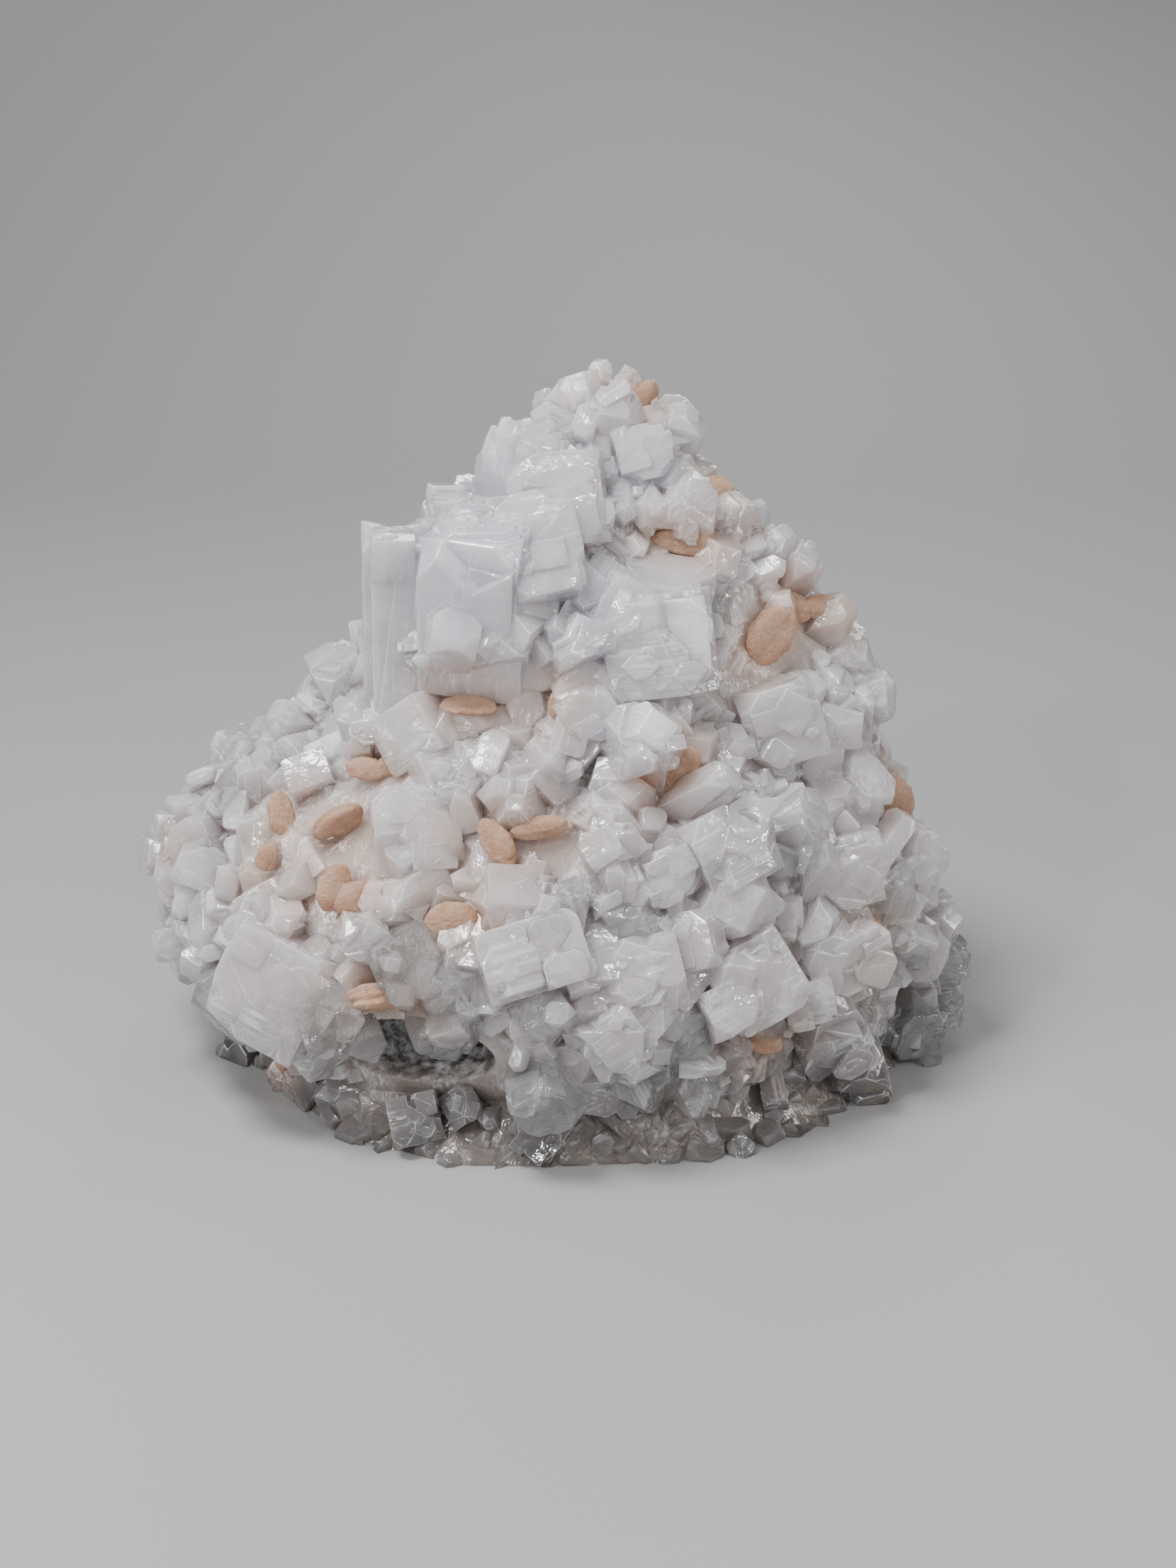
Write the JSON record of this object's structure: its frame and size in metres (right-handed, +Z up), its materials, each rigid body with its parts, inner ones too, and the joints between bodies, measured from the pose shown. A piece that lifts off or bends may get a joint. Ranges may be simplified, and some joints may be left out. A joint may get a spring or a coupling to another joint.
{
  "type": "mineral crystal cluster",
  "caption": "Peaked mound of intergrown white, ice-like apophyllite crystals with peach stilbite sheaves set among them, cut flat underneath to stand as a display specimen.",
  "frame": {"origin": "middle of the bounding box's foot, on the flat cut that the cluster stands on", "axes": "+Z up, -Y towards the pictured side, +X to the right as the pictured side is seen, along the cluster's width"},
  "size_m": [0.211, 0.1574, 0.171],
  "materials": {
    "apophyllite": "glassy to pearly, milky inside",
    "stilbite": "satin, pearly"
  },
  "bodies": {
    "root": {"apophyllite_crystals": "apophyllite", "stilbite_bow_tie": "stilbite", "stilbite_oval_middle": "stilbite", "stilbite_leaf_left": "stilbite", "stilbite_fan_left": "stilbite", "stilbite_blade_upper": "stilbite", "stilbite_wedge_upper": "stilbite", "stilbite_tall_far_left": "stilbite", "stilbite_bud_far_left": "stilbite", "stilbite_bar_left": "stilbite", "stilbite_edge_left": "stilbite", "stilbite_peak_right": "stilbite", "stilbite_peak_left": "stilbite", "stilbite_spire_edge": "stilbite", "stilbite_spire_foot": "stilbite", "stilbite_shoulder_right": "stilbite", "stilbite_shoulder_low": "stilbite", "stilbite_hollow_middle": "stilbite", "stilbite_flank_right": "stilbite", "stilbite_shelf_low_left": "stilbite", "stilbite_lip_left": "stilbite", "stilbite_low_right": "stilbite", "stilbite_lobe_right": "stilbite", "stilbite_back_low": "stilbite", "stilbite_back_high": "stilbite", "stilbite_back_left": "stilbite", "stilbite_back_right": "stilbite", "stilbite_side_left": "stilbite", "stilbite_back_peak": "stilbite"}
  },
  "joints": []
}
